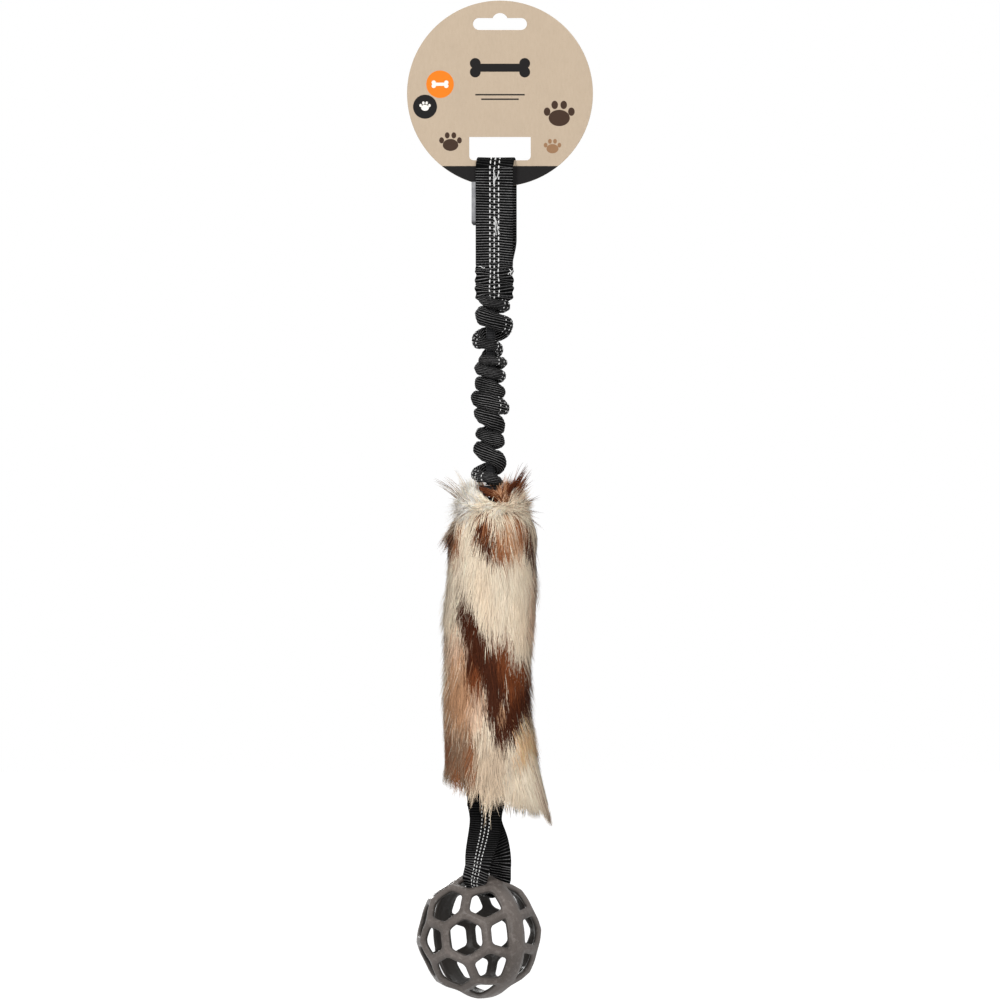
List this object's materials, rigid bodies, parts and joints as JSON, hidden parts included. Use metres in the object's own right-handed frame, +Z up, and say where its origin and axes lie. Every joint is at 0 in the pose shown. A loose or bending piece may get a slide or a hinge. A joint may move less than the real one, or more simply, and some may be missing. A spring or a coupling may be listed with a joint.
{
  "type": "faux fur tug toy",
  "caption": "Dog tug toy on a round hang card: webbing handle, bungee in a scrunched sleeve, long faux fur sleeve and a hollow lattice rubber ball hung in a webbing loop",
  "frame": {"origin": "top of the hang slot in the card, where a peg carries the toy", "axes": "+Z up along the hanging toy, +X to the right seen from the front, the front of the card faces -Y"},
  "size_m": [0.124, 0.0834, 0.6656],
  "materials": {
    "kraft_board": "uncoated kraft board, matt, printed with plain black and orange shapes",
    "black_webbing": "ribbed black polyester webbing with three broken lines of pale thread",
    "woven_label": "grey woven tape",
    "black_thread": "twisted polyester sewing thread",
    "black_elastic": "elastic in a woven cover",
    "faux_fur": "long pile, cream and tan with dark brown patches",
    "grey_rubber": "moulded warm grey rubber, satin"
  },
  "bodies": {
    "header": {"header_card": "kraft_board"},
    "handle": {"handle_loop": "black_webbing", "side_label": "woven_label", "front_seam_thread": "black_thread", "back_seam_thread": "black_thread", "elastic_top_tab": "black_elastic", "elastic_core": "black_elastic", "bungee_sleeve": "black_webbing"},
    "bungee_end": {"elastic_bottom_tab": "black_elastic", "neck_whipping": "black_thread"},
    "tail": {"inner_strap": "black_webbing", "fur_sleeve": "faux_fur"},
    "loop": {"ball_loop": "black_webbing"},
    "ball": {"ball_half_front": "grey_rubber", "ball_half_back": "grey_rubber"}
  },
  "joints": [
    {"name": "handle_swing", "type": "hinge", "parent": "header", "child": "handle", "pos_m": [-0.0038, 0, -0.0982], "axis": [1, 0, 0], "range_deg": [-10, 10]},
    {"name": "bungee_stretch", "type": "slide", "parent": "handle", "child": "bungee_end", "axis": [0, 0, -1], "range_m": [0, 0.12], "stiffness_N_per_m": 150, "springref_m": -0.012, "deforming": ["bungee_sleeve", "elastic_core"]},
    {"name": "tail_swing", "type": "hinge", "parent": "bungee_end", "child": "tail", "pos_m": [-0.0063, 0, -0.3224], "axis": [1, 0, 0], "range_deg": [-20, 20]},
    {"name": "loop_swing", "type": "hinge", "parent": "tail", "child": "loop", "pos_m": [-0.0095, 0, -0.5365], "axis": [1, 0, 0], "range_deg": [-12, 12]},
    {"name": "ball_rock", "type": "hinge", "parent": "loop", "child": "ball", "pos_m": [-0.0084, -0.0078, -0.5768], "axis": [-0.6324, 0.7398, 0.2296], "range_deg": [-12, 12]}
  ]
}
